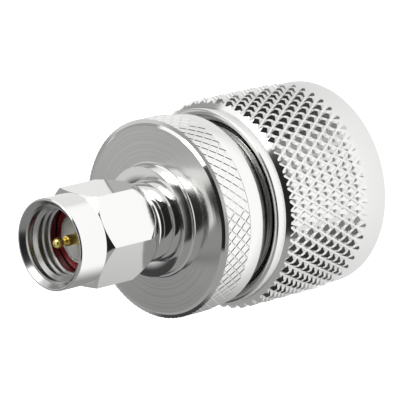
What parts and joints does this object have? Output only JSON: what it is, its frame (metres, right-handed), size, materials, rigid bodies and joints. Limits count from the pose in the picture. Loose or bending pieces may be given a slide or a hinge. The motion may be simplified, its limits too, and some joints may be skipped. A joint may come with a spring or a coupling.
{
  "type": "coaxial adapter",
  "caption": "Straight adapter from a small threaded coaxial plug with a hexagonal nut to a large coaxial plug with a knurled coupling nut.",
  "frame": {"origin": "centre of the large coupling nut's open rim, which the adapter stands on", "axes": "+Z along the common axis, from the large plug towards the small plug; +X and +Y across it, with a corner of the hexagon 40.4 degrees from +X towards +Y"},
  "size_m": [0.0188, 0.0188, 0.032],
  "materials": {
    "nickel": "bright nickel plating on brass",
    "gold": "bright gold plating",
    "silicone": "satin dark red silicone",
    "dielectric": "smooth off-white",
    "spring_metal": "plain spring wire"
  },
  "bodies": {
    "adapter": {"adapter_body": "nickel", "uhf_insulator": "dielectric", "uhf_pin": "gold", "sma_shell": "nickel", "sma_gasket": "silicone", "sma_insulator": "dielectric", "sma_pin": "gold"},
    "uhf_ring": {"uhf_snap_ring": "spring_metal"},
    "uhf_nut": {"uhf_coupling_nut": "nickel"},
    "sma_ring": {"sma_snap_ring": "spring_metal"},
    "sma_nut": {"sma_coupling_nut": "nickel"}
  },
  "joints": [
    {"name": "uhf_nut_slide", "type": "slide", "parent": "adapter", "child": "uhf_ring", "axis": [0, 0, 1], "range_m": [-0.0005, 0]},
    {"name": "uhf_nut_spin", "type": "hinge", "parent": "uhf_ring", "child": "uhf_nut", "pos_m": [0, 0, 0.0116], "axis": [0, 0, 1], "continuous": true},
    {"name": "sma_nut_slide", "type": "slide", "parent": "adapter", "child": "sma_ring", "axis": [0, 0, 1], "range_m": [0, 0.0003]},
    {"name": "sma_nut_spin", "type": "hinge", "parent": "sma_ring", "child": "sma_nut", "pos_m": [0, 0, 0.02545], "axis": [0, 0, 1], "continuous": true}
  ]
}
